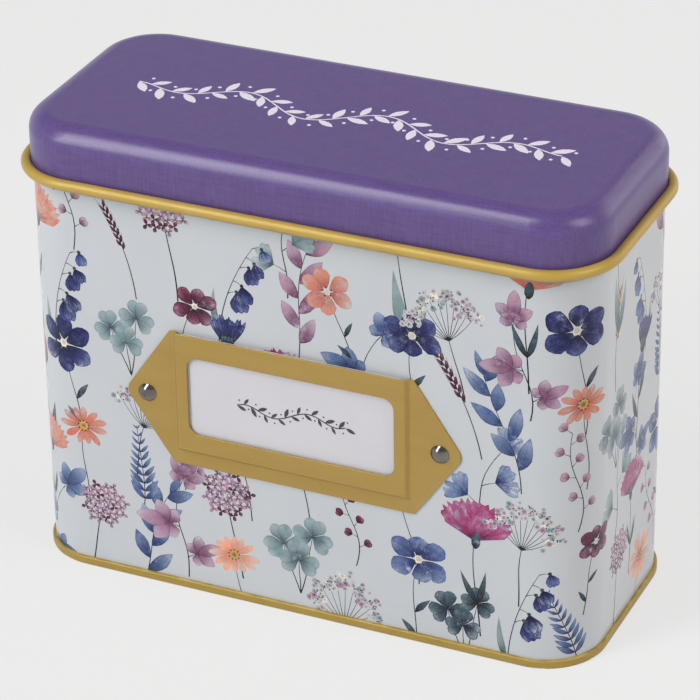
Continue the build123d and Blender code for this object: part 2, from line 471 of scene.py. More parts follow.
def stem(spine, width=0.3):
    """A thin line that tapers a little towards its tip."""

    def half(along):
        return width / 2 * (1 - 0.45 * np.clip(along, 0, 1))

    def read(points):
        return spine.read(points, half)

    along = np.linspace(0, 1, int(np.clip(spine.length / 1.9, 4, 14)))
    outline = band(spine, half, along, along[::-1])
    marks.append(Mark(stem_layer, outline, np.zeros((0, 2)), read, stem_ink, plain_habit))


def fan(layer, root, heading, radius, spread, inks, habit, ruffles, depth):
    """A broad petal or leaf: part of a disc about its root, with a ruffled edge."""
    root = np.array(root, float)
    phase = chance.uniform(0, full_turn)

    def reach(turn):
        ruffle = 1 - depth * (0.5 + 0.5 * np.sin(ruffles * math.pi * turn + phase))
        return radius * ruffle * (1 - 0.3 * np.abs(turn) ** 6)

    def point(turn, share):
        way = heading + turn * spread / 2
        far = reach(turn) * share
        return root + np.stack([far * np.sin(way), far * np.cos(way)], -1)

    def read(points):
        local = points - root
        turn = np.arctan2(local[:, 0], local[:, 1]) - heading
        turn = (turn + math.pi) % full_turn - math.pi
        turn = np.clip(turn / (spread / 2), -1, 1)
        return np.clip(np.hypot(*local.T) / reach(turn), 0, 1), turn

    turns = np.linspace(-1, 1, int(np.clip(6 + spread * radius, 8, 34)))
    inner = np.linspace(-0.85, 0.85, max(len(turns) // 2, 4))
    outline = np.concatenate([root[None], point(turns, 1.0)])
    inside = np.concatenate([point(inner, share) for share in (0.35, 0.65, 0.88)])
    marks.append(Mark(layer, outline, inside, read, inks, habit))


def dab(layer, centre, radius, inks, habit=plain_habit):
    """A round touch of the brush, such as a berry or an eye."""
    centre = np.array(centre, float)
    phase = chance.uniform(0, full_turn)

    def reach(turn):
        return radius * (1 + 0.07 * np.sin(3 * turn + phase))

    def read(points):
        local = points - centre
        turn = np.arctan2(local[:, 0], local[:, 1])
        return np.clip(np.hypot(*local.T) / reach(turn), 0, 1), np.sin(turn)

    turns = np.linspace(0, full_turn, int(np.clip(6 + radius * 5, 6, 18)), endpoint=False)
    ring = np.stack([np.sin(turns), np.cos(turns)], -1) * reach(turns)[:, None]
    inside = np.concatenate([centre[None], centre + 0.6 * ring[::2]]) if radius > 0.6 else centre[None]
    marks.append(Mark(layer, centre + ring, inside, read, inks, habit))


def stalk_under(head, size, lean, back, drop, bend, sway=0.01):
    """A stalk that leans in from one side as it rises to a plant's head."""
    root = head - (size * back * math.sin(lean), size * drop)
    return Spine(root, lean, size * drop, bend * either(), sway)


# The plants. Each is drawn about its head. Lengths are shares of its size, turns are in radians.
def star_flower(head, size, inks, lean):
    """Six pointed petals about a pale eye, on a stem with two small leaves."""
    stalk = stalk_under(head, size, lean, 0.9, 1.7, 0.12, 0.02)
    head = stalk.at(1.0)
    stem(stalk)
    for turn in (-0.6, 0.7):
        leaf = branch(stalk, 0.3 + 0.2 * turn, turn, size * 0.38, 0.2 * turn)
        blade(leaf_layer, leaf, size * 0.11, (0.45, 1.1), teal, (0.6, 0, 0.2))
    tilt = chance.uniform(0, 0.35)
    for petal in chance.permutation(6):
        turn = petal * math.pi / 3 + lean + around(0.12)
        length = size * 0.5 * (1 - tilt * math.cos(turn) ** 2)
        spine = Spine(head + 0.05 * size * toward(turn), turn, length, around(0.1))
        blade(petal_layer, spine, size * 0.34, (0.62, 0.62), inks, (0.25, 0.8, chance.uniform(0, 0.5)))
    dab(eye_layer, head, size * 0.07, cream)
    for speck in range(5):
        dab(eye_layer, head + 0.1 * size * toward(speck * 1.26 + lean), size * 0.022, stem_ink)


def daisy(head, size, inks, lean):
    """Many narrow petals about a dotted eye."""
    stalk = stalk_under(head, size, lean, 0.9, 1.6, 0.1, 0.02)
    head = stalk.at(1.0)
    stem(stalk)
    count = chance.integers(11, 14)
    tilt = chance.uniform(0.1, 0.45)
    for petal in chance.permutation(count):
        turn = petal * 2 * math.pi / count + around(0.07)
        length = size * 0.5 * (1 - tilt * math.cos(turn) ** 2) * chance.uniform(0.9, 1.05)
        spine = Spine(head, turn, length, around(0.12))
        blade(petal_layer, spine, size * 0.14, (0.68, 0.6), inks, (0, 0.7, chance.uniform(0, 0.55)))
    dab(eye_layer, head, size * 0.1, ochre)
    for speck in range(9):
        dab(eye_layer, head + 0.1 * size * toward(speck * 0.7), size * 0.018, stem_ink)


def tulip(head, size, inks, lean):
    """A cup of overlapping petals between two long leaves."""
    stalk = stalk_under(head, size, lean, 1.2, 1.5, 0.08)
    head = stalk.at(1.0)
    top = stalk.turned(1.0)
    stem(stalk, 0.4)
    for turn, length in ((-0.34, 1.15), (0.4, 0.95)):
        leaf = branch(stalk, 0.05, turn, size * length, -0.35 * turn)
        blade(leaf_layer, leaf, size * 0.2, (0.4, 1.1), (sage, teal)[chance.integers(2)], (0.5, 0.3, 0.3))
    cup = ((-0.28, 0.74, 0.36), (0.28, 0.74, 0.36), (-0.5, 0.66, 0.34), (0.5, 0.66, 0.34))
    for turn, length, width in (*cup, (0.02, 0.68, 0.42)):
        spine = Spine(head, top + turn, size * length, -0.28 * turn)
        blade(petal_layer, spine, size * width, (0.52, 0.7), inks, (0, 1.0, chance.uniform(0, 0.3)))
    dab(eye_layer, head, size * 0.05, teal)


def bells(head, size, inks, lean):
    """Bells hanging from the curled tip of a stem."""
    side = either()
    stalk = Spine(head - (side * size * 0.35, size * 1.6), lean, size * 1.9, side * 0.3)
    stem(stalk)
    for number, along in enumerate((0.5, 0.64, 0.78, 0.9, 1.0)):
        droop = side * (1.2 if number % 2 else 0.5)
        hang = branch(stalk, along, droop, size * 0.16, side * 0.4)
        stem(hang, 0.22)
        length = size * (0.4 - 0.035 * number)
        down = math.pi - side * chance.uniform(0.1, 0.5)
        mouth = inks if number < 4 else blue
        for turn in (-0.42, 0.42, 0.0):
            spine = Spine(hang.at(1.0), down + turn, length, -0.35 * turn)
            blade(petal_layer, spine, length * 0.5, (0.66, 0.75), mouth, (0, 0.9, 0.35))
        dab(eye_layer, hang.at(1.0), size * 0.035, stem_ink)
    leaf = branch(stalk, 0.1, -0.5 * side, size * 0.8, 0.3 * side)
    blade(leaf_layer, leaf, size * 0.13, (0.45, 1.1), sage, (0.5, 0.2, 0.3))


def fern(head, size, inks, lean):
    """A frond with pairs of leaflets that shorten towards its tip."""
    stalk = Spine(head - (0, size), lean, size * 2.0, 0.16 * either(), 0.01)
    stem(stalk)
    for along in np.linspace(0.25, 0.97, 10):
        length = size * 0.5 * (1.08 - along) ** 0.7
        for side in (-1, 1):
            leaf = branch(stalk, along, side * chance.uniform(0.85, 1.05), length, -0.18 * side)
            blade(leaf_layer, leaf, length * 0.3, (0.45, 0.9), inks, (0.6, 0, chance.uniform(0, 0.5)))


def willow(head, size, inks, lean):
    """A twig with long leaves one after the other on either side."""
    stalk = Spine(head - (0, size), lean, size * 2.1, 0.14 * either(), 0.02)
    stem(stalk)
    for number, along in enumerate(np.linspace(0.2, 0.95, 7)):
        side = -1 if number % 2 else 1
        turn = side * chance.uniform(0.55, 0.8)
        leaf = branch(stalk, along, turn, size * chance.uniform(0.5, 0.66), -0.1 * side)
        blade(leaf_layer, leaf, size * 0.25, (0.46, 0.85), inks, (1.0, 0, chance.uniform(0, 0.7)))
    blade(leaf_layer, branch(stalk, 1.0, 0, size * 0.45), size * 0.15, (0.45, 1.0), inks, (1.0, 0, 0.2))


def clover(head, size, inks, lean):
    """Leaves of three hearts on bare stalks."""
    base = head - (0, size * 1.2)
    for turn, far in ((-0.35, 1.1), (0.3, 1.35), (0.0, 0.75)):
        stalk = Spine(base, lean + turn, size * far, -0.2 * turn, 0.01)
        stem(stalk)
        spread = size * chance.uniform(0.36, 0.44)
        for heart in (-1.9, 0.0, 1.9):
            for lobe in (-0.3, 0.3):
                leaf = Spine(stalk.at(1.0), stalk.turned(1.0) + heart + lobe, spread, 0.1 * lobe)
                blade(leaf_layer, leaf, spread * 0.72, (0.66, 0.6), inks, (0.8, 0, 0.3))


def umbel(head, size, inks, lean):
    """A flat head of tiny florets on spreading rays."""
    stalk = Spine(head - (0, size * 1.35), lean, size * 0.85, 0.08 * either(), 0.01)
    stem(stalk, 0.35)
    for turn in np.linspace(-1.15, 1.15, 11):
        far = size * (0.62 - 0.12 * abs(turn)) * chance.uniform(0.92, 1.08)
        ray = branch(stalk, 1.0, turn, far, -0.15 * turn)
        stem(ray, 0.2)
        tip = ray.at(1.0)
        for floret in range(9):
            spot = tip + chance.normal(0, size * 0.07, 2) * (1.2, 0.8)
            shade = inks if chance.uniform() < 0.6 else (cream, mauve, sage)[chance.integers(3)]
            dab(petal_layer, spot, size * chance.uniform(0.022, 0.048), shade, (0, 0, 0.4))
        for speck in range(3):
            dab(eye_layer, tip + chance.normal(0, size * 0.05, 2), size * 0.012, stem_ink)


def globe(head, size, inks, lean):
    """A ball of small stars on a bare straight stem."""
    stalk = stalk_under(head, size, lean, 0, 1.6, 0.04)
    stem(stalk, 0.4)
    head = stalk.at(1.0)
    stars = 34
    for number in range(stars):
        turn = number * 2.4
        spot = head + size * 0.44 * math.sqrt((number + 0.5) / stars) * toward(turn)
        shade = plum if chance.uniform() < 0.18 else inks
        for petal in range(3):
            hair = Spine(spot, petal * 2 * math.pi / 3 + turn, size * 0.1)
            blade(petal_layer, hair, size * 0.075, (0.6, 0.6), shade, (0, 0, chance.uniform(0, 0.9)))
        dab(eye_layer, spot, size * 0.012, stem_ink)


def grass_ear(head, size, inks, lean):
    """A nodding ear of seeds with fine awns."""
    side = either()
    stalk = Spine(head - (side * size * 0.2, size * 1.3), lean, size * 2.2, side * 0.22)
    stem(stalk)
    for number, along in enumerate(np.linspace(0.55, 1.0, 13)):
        hand = -1 if number % 2 else 1
        seed = branch(stalk, along, hand * 0.55, size * 0.2, -0.1 * hand)
        blade(leaf_layer, seed, size * 0.085, (0.45, 0.8), inks, (0.3, 0.3, 0.2))
        stem(branch(stalk, along, hand * 0.35, size * 0.42, -0.08 * hand), 0.14)


def thistle(head, size, inks, lean):
    """A scaly cup with a brush of fine petals."""
    stalk = stalk_under(head, size, lean, 1.2, 1.5, 0.08)
    stem(stalk, 0.45)
    root, top = stalk.at(1.0), stalk.turned(1.0)
    for turn in chance.permutation(np.linspace(-0.75, 0.75, 17)):
        hair = Spine(root, top + turn, size * chance.uniform(0.5, 0.62), -0.25 * turn)
        blade(petal_layer, hair, size * 0.075, (0.72, 0.6), inks, (0, 0.6, chance.uniform(0, 0.5)))
    for turn in (-0.5, 0.5, -0.2, 0.2):
        scale = Spine(root - 0.04 * size * stalk.ahead, top + turn, size * 0.26, -0.3 * turn)
        blade(eye_layer, scale, size * 0.13, (0.5, 0.8), teal, (0, 0.6, 0.2))
    for along, turn in ((0.25, -0.7), (0.45, 0.6)):
        leaf = branch(stalk, along, turn, size * 0.62, -0.3 * turn)
        blade(leaf_layer, leaf, size * 0.13, (0.4, 1.1), teal, (0.6, 0, 0.2))


def ivy(head, size, inks, lean):
    """A twig with broad leaves of five lobes."""
    twig = Spine(head - (0, size * 1.1), lean, size * 1.7, 0.14 * either(), 0.04)
    stem(twig, 0.35)
    for along, turn, share in ((0.22, 1.0, 0.8), (0.55, -1.0, 1.0), (1.0, 0.1, 0.9)):
        stalk = branch(twig, along, turn, size * 0.2, 0.1 * turn)
        stem(stalk, 0.25)
        fading = chance.uniform(0, 0.6)
        for lobe, length in ((-1.9, 0.3), (1.9, 0.3), (-0.95, 0.44), (0.95, 0.44), (0.0, 0.6)):
            spine = branch(stalk, 1.0, lobe, size * length * share, 0.05 * lobe)
            blade(leaf_layer, spine, size * 0.3 * share, (0.5, 0.75), inks, (0.8, 0, fading))


def carnation(head, size, inks, lean):
    """A ruffled head seen from the side, in three tiers over a green cup."""
    stalk = stalk_under(head, size, lean, 1.2, 1.4, 0.08)
    stem(stalk, 0.4)
    root, top = stalk.at(1.0), stalk.turned(1.0)
    for reach, spread, ruffles in ((0.62, 2.1, 9), (0.56, 1.5, 7), (0.44, 1.15, 5), (0.32, 0.8, 4)):
        for turn in (-0.22, 0.24):
            way = top + turn * spread
            habit = (0, 1.3, chance.uniform(0, 0.4))
            fan(petal_layer, root, way, size * reach, spread * 0.7, inks, habit, ruffles, 0.14)
    cup = Spine(root - 0.12 * size * stalk.ahead, top, size * 0.24)
    blade(eye_layer, cup, size * 0.13, (0.5, 0.6), teal, (0, 0.4, 0))
    for turn in (-0.5, 0.5):
        leaf = branch(stalk, 0.35, turn, size * 0.5, -0.3 * turn)
        blade(leaf_layer, leaf, size * 0.09, (0.4, 1.1), teal, (0.4, 0, 0.2))


def fan_leaves(head, size, inks, lean):
    """A twig with leaves like open fans."""
    twig = Spine(head - (0, size * 1.1), lean, size * 1.5, 0.12 * either(), 0.03)
    stem(twig, 0.35)
    for along, turn in ((0.35, -0.9), (0.62, 0.9), (1.0, 0.05)):
        stalk = branch(twig, along, turn, size * 0.26, 0.1 * turn)
        stem(stalk, 0.22)
        for half in (-0.5, 0.5):
            spread = chance.uniform(0.95, 1.1)
            way = stalk.turned(1.0) + half * spread
            fan(leaf_layer, stalk.at(1.0), way, size * 0.46, spread, inks, (0, 1.4, 0.45), 3, 0.1)


def heart_vine(head, size, inks, lean):
    """A trailing stem hung with pairs of small hearts."""
    vine = Spine(head - (0, size * 1.1), lean, size * 2.2, 0.1 * either(), 0.05)
    stem(vine)
    for number, along in enumerate(np.linspace(0.22, 1.0, 8)):
        side = -1 if number % 2 else 1
        stalk = branch(vine, along, side, size * 0.13)
        stem(stalk, 0.2)
        for lobe in (-0.35, 0.35):
            leaf = branch(stalk, 1.0, lobe, size * 0.2, -0.2 * lobe)
            blade(leaf_layer, leaf, size * 0.15, (0.6, 0.6), inks, (0, 0.5, 0.4))


# What grows in the meadow: the plant, its height in millimetres, and the inks that it comes in
plants = (
    (star_flower, 15.5, (indigo, indigo, blue)),
    (fern, 12.5, (teal, slate)),
    (daisy, 14.5, (coral, peach)),
    (willow, 13.5, (slate, mauve, teal)),
    (globe, 13.5, (mauve,)),
    (bells, 14.0, (indigo, blue)),
    (clover, 12.0, (sage, teal)),
    (carnation, 17.0, (rose, coral, rose)),
    (grass_ear, 11.5, (plum, ochre)),
    (umbel, 19.0, (stone,)),
    (star_flower, 12.0, (plum, coral)),
    (fan_leaves, 13.5, (sage, slate)),
    (tulip, 14.5, (rose, blue)),
    (heart_vine, 12.0, (mauve, plum)),
    (thistle, 14.5, (indigo, plum)),
    (ivy, 14.5, (teal, slate, mauve)),
)
columns = 27
rows = 5
last_seen = {}
for column in range(columns):
    for row in range(rows):
        near = {last_seen.get((column - back, row + step)) for back in range(3) for step in range(-2, 3)}
        number = int(chance.choice([number for number in range(len(plants)) if number not in near]))
        last_seen[column, row] = number
        plant, size, choices = plants[number]
        place_u = -girth / 2 + (column + 0.5) * girth / columns + around(1.5)
        row_up = row + 0.45 + 0.5 * (column % 2)
        place_v = sheet_low + row_up * (sheet_high - sheet_low) / rows + around(2.0)
        grown = size * chance.uniform(0.88, 1.08)
        inks = choices[chance.integers(len(choices))]
        plant(np.array((place_u, place_v)), grown, inks, around(0.2))


def rungs_on(guide, outline):
    """Points on a guide inside an outline, so that a mark that the guide cuts keeps its depth."""
    x, y = outline.T
    if not x.min() < guide < x.max():
        return []
    next_x, next_y = np.roll(x, -1), np.roll(y, -1)
    cut = (x > guide) != (next_x > guide)
    share = (guide - x[cut]) / (next_x[cut] - x[cut])
    ends = np.sort(y[cut] + share * (next_y[cut] - y[cut]))
    points = []
    for low, high in zip(ends[::2], ends[1::2]):
        steps = math.ceil((high - low) / rung_gap)
        points += [(guide, low + (high - low) * (step + 0.5) / steps) for step in range(steps)]
    return points


# What the corners of the print's faces carry: a mark's two inks, the place in it, and its habit
mark_layers = ("wash", "bleed", "place", "habit")


def flat_print(name, border, guides, drawn):
    """The mesh of a flat sheet, in metres, cut along the guides and along every mark."""
    low, high = border
    points = [(low[0], low[1]), (high[0], low[1]), (high[0], high[1]), (low[0], high[1])]
    edges = [(0, 1), (1, 2), (2, 3), (3, 0)]
    for guide in guides:
        edges.append((len(points), len(points) + 1))
        points += [(guide, low[1]), (guide, high[1])]
    outlines = []
    for mark in drawn:
        outlines.append(list(range(len(points), len(points) + len(mark.outline))))
        points += [tuple(point) for point in mark.outline]
        points += [tuple(point) for point in mark.inside]
        if len(mark.inside):
            points += [point for guide in guides for point in rungs_on(guide, mark.outline)]
    cut = delaunay_2d_cdt([Vector(point) for point in points], edges, outlines, 0, 1e-4, True)
    corners = np.array([tuple(point) for point in cut[0]])
    faces = np.array(cut[2])
    owner = np.array([max(under, default=-1) for under in cut[5]])
    middle = corners[faces].mean(1)
    kept = ((middle > low) & (middle < high)).all(1)
    faces, owner = faces[kept], owner[kept]
    used, faces = np.unique(faces, return_inverse=True)
    corners, faces = corners[used], faces.reshape(-1, 3)
    mesh = bpy.data.meshes.new(name)
    mesh.from_pydata([(x * mm, y * mm, 0) for x, y in corners], [], faces.tolist())
    values = {layer: np.zeros((len(faces), 3, 4)) for layer in mark_layers}
    order = np.argsort(owner, kind="stable")
    starts = np.searchsorted(owner[order], np.arange(len(drawn) + 1))
    for number, mark in enumerate(drawn):
        mine = order[starts[number] : starts[number + 1]]
        spots = corners[faces[mine]].reshape(-1, 2)
        along, across = mark.read(spots)
        tail = np.roll(mark.outline, -1, 0) - mark.outline
        reach = spots[:, None] - mark.outline[None]
        share = np.clip((reach * tail).sum(2) / np.maximum((tail**2).sum(1), 1e-9), 0, 1)
        rim = np.hypot(*np.moveaxis(reach - share[..., None] * tail, 2, 0)).min(1)
        shape = (len(mine), 3)
        values["wash"][mine] = mark.inks[0]
        values["bleed"][mine] = (*mark.inks[1][:3], mark.seed)
        values["place"][mine, :, :3] = np.stack([along, across, rim], -1).reshape(*shape, 3)
        values["habit"][mine, :, :3] = mark.habit
    for layer, value in values.items():
        painted = layer in ("wash", "bleed")
        attribute = mesh.attributes.new(layer, "FLOAT_COLOR" if painted else "FLOAT_VECTOR", "CORNER")
        data = value if painted else value[..., :3]
        attribute.data.foreach_set("color" if painted else "vector", data.astype(np.float32).ravel())
    return mesh


guides = []
for corner_start in (front_half, front_half + bend_length + side_length):
    for step in range(bend_steps + 1):
        guides += [side * (corner_start + step * bend_length / bend_steps) for side in (-1, 1)]
seam_right = girth / 2 - seam_place - seam_gap / 2
seam_left = seam_right - girth + seam_gap
marks.sort(key=lambda mark: mark.layer)
flat = flat_print("print_skin", ((seam_left, sheet_low), (seam_right, sheet_high)), guides + [0.0], marks)
flat_map = flat.uv_layers.new(name="OFBake")
places = np.zeros(len(flat.loops), np.int32)
flat.loops.foreach_get("vertex_index", places)
spots = np.array([vertex.co[:2] for vertex in flat.vertices])[places]
middle = spots.reshape(-1, 3, 2).mean(1).repeat(3, 0)
right_half = middle[:, 0] > 0
map_u = spots[:, 0] / (girth / 2 * mm) + np.where(right_half, 0, 1)
map_v = spots[:, 1] / (2 * sheet_high * mm) + np.where(right_half, 0.5, 0)
unit = np.clip(np.stack([map_u, map_v], -1), 0, 1)
flat_map.uv.foreach_set("vector", unit.astype(np.float32).ravel())

printing = finish("printed_tinplate")
at = printing.place()
wash, bleed, place, habit = [
    printing.node("ShaderNodeAttribute", {"attribute_name": layer}, {}) for layer in mark_layers
]
along, across, rim = printing.parts(place["Vector"])
veined, streaked, faded = printing.parts(habit["Vector"])
pool = printing.noise(at, pool_scale, 2) - 0.5
blotch = printing.noise(at, blotch_scale, 3) - 0.5
grain = printing.noise(at, grain_scale, 3, 0.6) - 0.5
streak = printing.noise(printing.joined(across * 4.0, along * 0.9, bleed["Alpha"] * 50), 1.6, 2) - 0.5
midrib = 1 - printing.ease(across.size(), 0.02, 0.12)
rungs = printing.math("FRACT", (along - across.size() * 0.24) * 8) - 0.5
veins = midrib.most((1 - printing.ease(rungs.size(), 0.02, 0.12)) * 0.6) * veined
edge_line = 1 - printing.ease(rim, 0.04, 0.34)
thin = printing.ease(along + blotch * 1.2, 0.3, 1.0) * faded
amount = 0.9 + pool * 1.9 + blotch * 1.7 + grain * 1.2 + streak * streaked * 0.8 + veins * 0.12
amount = amount + edge_line * 0.28 - thin * 0.8
deep = 1 - printing.ease(along + pool * 2.2 + blotch * 0.8 + grain * 0.4, 0.05, 0.92)
full = printing.parts(printing.mix(deep, wash["Color"], bleed["Color"]))
bare = printing.parts(ground_tone(printing, at))
glaze = amount.most(0) * wash["Alpha"]
stained = [under * ((over / under).most(0.004) ** glaze) for under, over in zip(bare, full)]
sockets = {
    "Base Color": printing.joined(*stained),
    "Roughness": varnish_roughness,
    "Specular IOR Level": varnish_shine,
    "Normal": orange_peel(printing, at),
}
printing.paint(sockets)


class Growth(Nodes):
    """A Geometry Nodes tree with named inputs: a mesh, a material, measures and whole numbers."""

    def __init__(self, name, measures, numbers):
        super().__init__(bpy.data.node_groups.new(name, "GeometryNodeTree"))
        inputs = {"Geometry": "NodeSocketGeometry", "Material": "NodeSocketMaterial"}
        inputs |= dict.fromkeys(measures, "NodeSocketFloat")
        inputs |= dict.fromkeys(numbers, "NodeSocketInt")
        self.identifiers = {}
        for label, kind in inputs.items():
            socket = self.tree.interface.new_socket(label, in_out="INPUT", socket_type=kind)
            self.identifiers[label] = socket.identifier
        self.tree.interface.new_socket("Geometry", in_out="OUTPUT", socket_type="NodeSocketGeometry")
        group = self.node("NodeGroupInput", {}, {})
        self.input = {label: group[identifier] for label, identifier in self.identifiers.items()}

    def end(self, geometry):
        whole = self.node("GeometryNodeRealizeInstances", {}, {"Geometry": geometry})["Geometry"]
        sockets = {"Geometry": whole, "Material": self.input["Material"]}
        done = self.node("GeometryNodeSetMaterial", {}, sockets)["Geometry"]
        self.node("NodeGroupOutput", {}, {0: done})

    def grow(self, name, mesh, values):
        """The plain mesh that the tree makes of a mesh with these values."""
        start = bpy.data.objects.new(name, mesh)
        bpy.context.scene.collection.objects.link(start)
        modifier = start.modifiers.new("growth", "NODES")
        modifier.node_group = self.tree
        for label, value in values.items():
            modifier[self.identifiers[label]] = value
        bpy.context.view_layer.update()
        graph = bpy.context.evaluated_depsgraph_get()
        ready = start.evaluated_get(graph)
        made = bpy.data.meshes.new_from_object(ready, preserve_all_data_layers=True, depsgraph=graph)
        made.name = name
        start.modifiers.remove(modifier)
        start.data = made
        return start


# The former: the flat sheet's width runs along a rounded rectangle, from the middle of the front.
former = Growth("roll_round_former", ("Width", "Depth", "Corner Radius"), ("Corner Steps",))
sockets = {"Width": former.input["Width"], "Height": former.input["Depth"]}
rectangle = former.node("GeometryNodeCurvePrimitiveQuadrilateral", {}, sockets)["Curve"]
sockets = {"Radius": former.input["Corner Radius"], "Count": former.input["Corner Steps"]}
sockets["Curve"] = rectangle
outline = former.node("GeometryNodeFilletCurve", {"mode": "POLY"}, sockets)["Curve"]
round_length = former.node("GeometryNodeCurveLength", {}, {"Curve": outline})["Length"]
across, up = former.parts(former.node("GeometryNodeInputPosition", {}, {})["Position"])[:2]
from_front = round_length * 0.75 - (former.input["Depth"] * 0.5 - former.input["Corner Radius"])
way = former.math("FLOORED_MODULO", across + from_front, round_length)
sockets = {"Curves": outline, "Length": way}
spot = former.node("GeometryNodeSampleCurve", {"mode": "LENGTH"}, sockets)["Position"]
x, y = former.parts(spot)[:2]
sockets = {"Geometry": former.input["Geometry"], "Position": former.joined(x, y, up)}
former.end(former.node("GeometryNodeSetPosition", {}, sockets)["Geometry"])

skin_width = body_width + 2 * sheet_gap
skin_depth = body_depth + 2 * sheet_gap
skin_corner = body_corner + sheet_gap
values = {"Width": skin_width * mm, "Depth": skin_depth * mm, "Corner Radius": skin_corner * mm}
values |= {"Corner Steps": bend_steps, "Material": printing.owner}
print_skin = former.grow("print_skin", flat, values)


def outward(point):
    """The direction straight out of the sleeve at a point of its outside."""
    x, y = point.x, point.y
    past_x = abs(x) - (body_width / 2 - body_corner) * mm
    past_y = abs(y) - (body_depth / 2 - body_corner) * mm
    if past_x > 0 and past_y > 0:
        return Vector((math.copysign(past_x, x), math.copysign(past_y, y), 0)).normalized()
    if past_x > 0:
        return Vector((math.copysign(1, x), 0, 0))
    return Vector((0, math.copysign(1, y), 0))


smooth = [outward(vertex.co) for vertex in print_skin.data.vertices]
print_skin.data.normals_split_custom_set_from_vertices(smooth)
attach(print_skin, "tin")


# Base: a dished panel of gold-lacquered tinplate. Its edge is folded over the foot of the sleeve
# and rolled tight, as a double seam. Its lips are painted paler in patches: rubbing on the bottom
# lip, and on the top lip partly rubbing and partly a painted highlight where it catches the light.
lip_high = 1.86
lip_low = 0.16
lip_fade = 0.16
rubbed_and_highlit_gold = colour(206, 178, 108)
base_depth = (0.76, 0.77, 0.72)

base_gold = finish("gold_lacquer")
at = base_gold.place()
height = base_gold.parts(at)[2]
upper_lip = base_gold.ease(height, lip_high * mm, (lip_high + lip_fade) * mm)
lips = upper_lip.most(1 - base_gold.ease(height, 0, lip_low * mm))
# Painted highlight and rubbing: both lips get a paler gold in patches, the top lip standing in for its
# bright edge.
rubbing_and_highlight = lips * base_gold.ease(base_gold.noise(at, 340, 4, 0.6), 0.35, 0.7) * 0.6
deep_gold = base_gold.multiply(gold_tone(base_gold, at), base_depth)
sockets = {
    "Base Color": base_gold.mix(rubbing_and_highlight, deep_gold, rubbed_and_highlit_gold),
    "Metallic": gold_metallic,
    "Roughness": lacquer_gloss(base_gold, at, 0.36, 0.12) - rubbing_and_highlight * 0.08,
    "Normal": orange_peel(base_gold, at),
}
cover("base_plate", base_gold.paint(sockets))


# Lid: a shell drawn from one sheet, printed purple with a faint linen weave outside and lacquered
# gold inside. Its edge is curled outward, so the bead shows the gold side of the sheet.
lid_middle = 100.0
bead_top = 102.55
skirt_offset = 0.6
lid_purple = colour(90, 71, 128)
thread_light = colour(97, 79, 136)
thread_dark = colour(82, 64, 118)
lid_roughness = 0.3
thread_scale = 2800
thread_stretch = 0.07


def sleeve_offset(coat, at):
    """How far a point lies outside the sleeve's printed face."""
    x, y, z = coat.parts(at)
    past_x = (x.size() - (body_width / 2 - body_corner) * mm).most(0)
    past_y = (y.size() - (body_depth / 2 - body_corner) * mm).most(0)
    return (past_x * past_x + past_y * past_y) ** 0.5 - body_corner * mm


linen = finish("lid_satin")
at = linen.place()
height = linen.parts(at)[2]
purple_side = (height > bead_top * mm).most(sleeve_offset(linen, at) < skirt_offset * mm)
purple_side = purple_side * outer_side(linen, at, lid_middle)
level = linen.ease(linen.parts(linen.place("Normal"))[2], 0.5, 0.8)
along_x = linen.noise(linen.stretch(at, (thread_stretch, 1, 1)), thread_scale, 2)
along_y = linen.noise(linen.stretch(at, (1, thread_stretch, 1)), thread_scale, 2)
along_z = linen.noise(linen.stretch(at, (1, 1, thread_stretch)), thread_scale, 2)
weave = (along_x + along_z + (along_y - along_z) * level) * 0.5
purple = linen.mix(linen.ease(weave, 0.34, 0.52), thread_dark, lid_purple)
purple = linen.mix(linen.ease(weave, 0.5, 0.7), purple, thread_light)
bead_roughness = lacquer_gloss(linen, at, 0.36, 0.1)
relief = linen.noise(at, 900, 2) * 0.6 + weave * purple_side
sockets = {
    "Base Color": linen.mix(purple_side, gold_tone(linen, at), purple),
    "Metallic": (1 - purple_side) * gold_metallic,
    "Roughness": bead_roughness + (lid_roughness - bead_roughness) * purple_side,
    "Normal": linen.bump(relief, 0.02 * mm, 0.3),
}
cover("lid_shell", linen.paint(sockets))


# Garland on the lid: one wavy stem with leaves and dots, printed in white over the purple.
# The ink stands a hundredth of a millimetre above the sheet.
lid_top = 114.3
garland_length = 104.0
garland_waves = 3
garland_rise = 4.2
ink_height = 0.02
smallest_leaf = 0.82
largest_leaf = 1.12
leaf_middle = 0.55
dot_middle = 0.62

measures = ("Stem Width", "Leaf Length", "Leaf Width", "Leaf Spacing", "Leaf Turn", "Dot Size", "Ink Height")
spray = Growth("leaves_along_a_stem", measures, ("Seed",))
path = spray.node("GeometryNodeMeshToCurve", {}, {"Mesh": spray.input["Geometry"]})["Curve"]
sockets = {"Resolution": 6, "Radius": spray.input["Stem Width"] * 0.5}
profile = spray.node("GeometryNodeCurvePrimitiveCircle", {"mode": "RADIUS"}, sockets)["Curve"]
sockets = {"Curve": path, "Profile Curve": profile, "Fill Caps": True}
stems = spray.node("GeometryNodeCurveToMesh", {}, sockets)["Mesh"]
x, y, z = spray.parts(spray.node("GeometryNodeInputPosition", {}, {})["Position"])
flat_z = z * (spray.input["Ink Height"] / spray.input["Stem Width"])
sockets = {"Geometry": stems, "Position": spray.joined(x, y, flat_z)}
stems = spray.node("GeometryNodeSetPosition", {}, sockets)["Geometry"]
sockets = {"Curve": path, "Length": spray.input["Leaf Spacing"]}
spots = spray.node("GeometryNodeCurveToPoints", {"mode": "LENGTH"}, sockets)
hand = spray.math("FLOORED_MODULO", spray.node("GeometryNodeInputIndex", {}, {})["Index"], 2) * 2 - 1
axes = {"axis": "X", "pivot_axis": "Z"}
sockets = {"Vector": spots["Tangent"]}
forward = spray.node("FunctionNodeAlignRotationToVector", axes, sockets)["Rotation"]
sockets = {"Min_001": smallest_leaf, "Max_001": largest_leaf, "Seed": spray.input["Seed"]}
growth = spray.node("FunctionNodeRandomValue", {"data_type": "FLOAT"}, sockets)["Value_001"]
sockets = {"Segments": 8, "Rings": 6, "Radius": 0.5}
